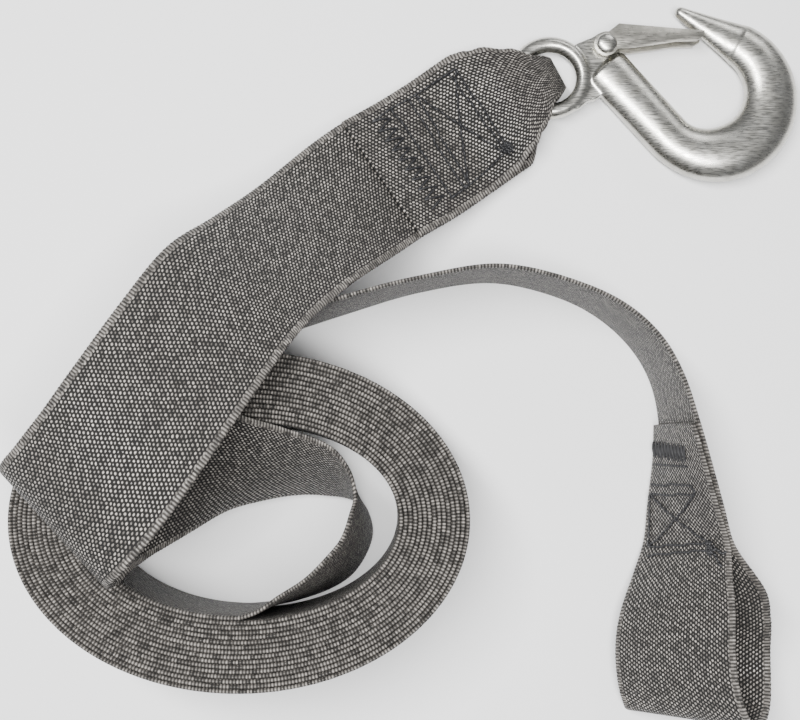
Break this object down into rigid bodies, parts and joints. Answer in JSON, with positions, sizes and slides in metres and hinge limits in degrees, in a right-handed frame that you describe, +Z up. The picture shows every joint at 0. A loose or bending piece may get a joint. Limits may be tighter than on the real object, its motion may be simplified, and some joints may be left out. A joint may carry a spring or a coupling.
{
  "type": "winch strap",
  "caption": "Flat webbing winch strap wound into an oval coil on its edge, with a forged safety-latch hook sewn to its inner end and a sewn drum loop at its outer end",
  "frame": {"origin": "centre of the bounding box's base, on the floor", "axes": "+X along the longest side, +Z up, the way the strap lies on the floor"},
  "size_m": [0.271, 0.2538, 0.0817],
  "materials": {
    "webbing": "woven polyester, warm grey-brown, matt with a faint sheen",
    "zinc_forging": "forged steel, bright zinc plating",
    "latch_steel": "folded sheet and spring wire, zinc plating with a yellowish tone"
  },
  "bodies": {
    "strap": {"webbing_coil": "webbing", "webbing_hook_run": "webbing", "webbing_loop_run": "webbing", "hook_body": "zinc_forging", "latch_rivet": "zinc_forging"},
    "latch": {"hook_latch": "latch_steel", "latch_spring": "latch_steel"}
  },
  "joints": [
    {"name": "latch_hinge", "type": "hinge", "parent": "strap", "child": "latch", "pos_m": [0.06575, 0.1119, 0.0065], "axis": [0, 0, 1], "range_deg": [-34, 0], "stiffness_Nm_per_rad": 0.02, "springref_deg": 34.38}
  ]
}
